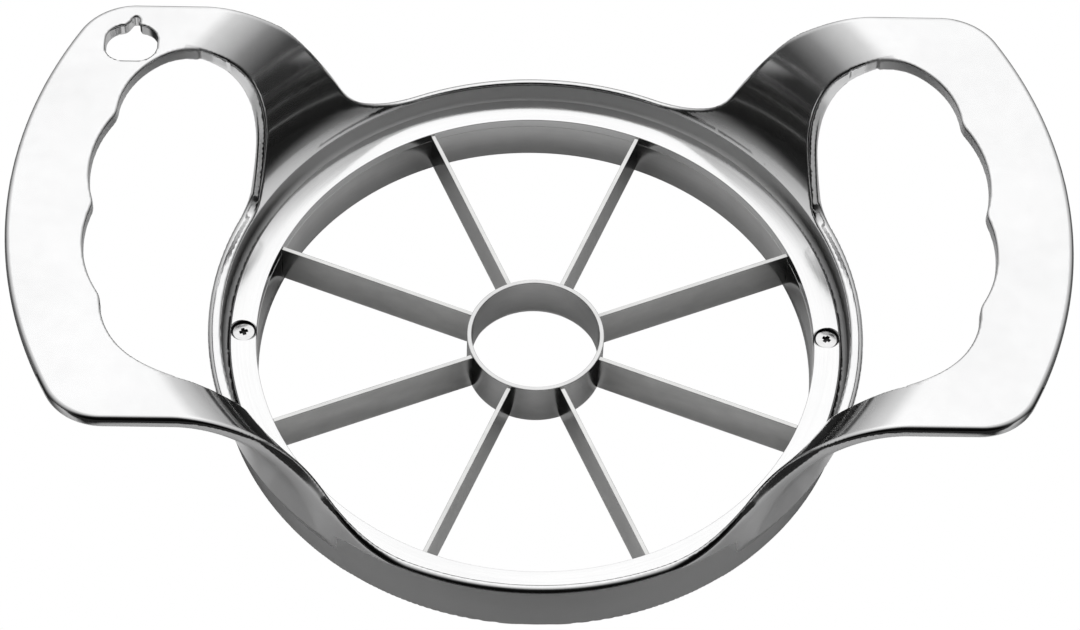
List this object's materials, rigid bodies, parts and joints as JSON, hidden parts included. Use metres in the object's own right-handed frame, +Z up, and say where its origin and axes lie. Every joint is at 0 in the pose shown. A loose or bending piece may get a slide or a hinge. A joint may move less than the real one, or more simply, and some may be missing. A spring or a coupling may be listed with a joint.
{
  "type": "pineapple corer slicer",
  "caption": "Push-down fruit slicer and corer: a cast frame with two raised open handles holds a blade hoop, a round core ring and radial blades.",
  "frame": {"origin": "centre of the collar, level with the hoop's lower rim, which is the lowest point", "axes": "+X to the right handle as seen from the front, +Z up from the blades' cutting edges to the handle plates; the hang hole is in the corner at -X +Y"},
  "size_m": [0.182, 0.114, 0.0466],
  "materials": {
    "cast_frame": "polished cast metal, near mirror",
    "polished_ring": "mirror polished",
    "blade_steel": "cold-rolled strip, lightly brushed",
    "screw_steel": "bright turned"
  },
  "bodies": {
    "root": {"frame": "cast_frame", "clamp_ring": "polished_ring", "blade_hoop": "blade_steel", "core_ring": "blade_steel", "blade_1": "blade_steel", "blade_2": "blade_steel", "blade_3": "blade_steel", "blade_4": "blade_steel", "blade_5": "blade_steel", "blade_6": "blade_steel", "blade_7": "blade_steel", "blade_8": "blade_steel", "screw_left": "screw_steel", "screw_right": "screw_steel"}
  },
  "joints": []
}
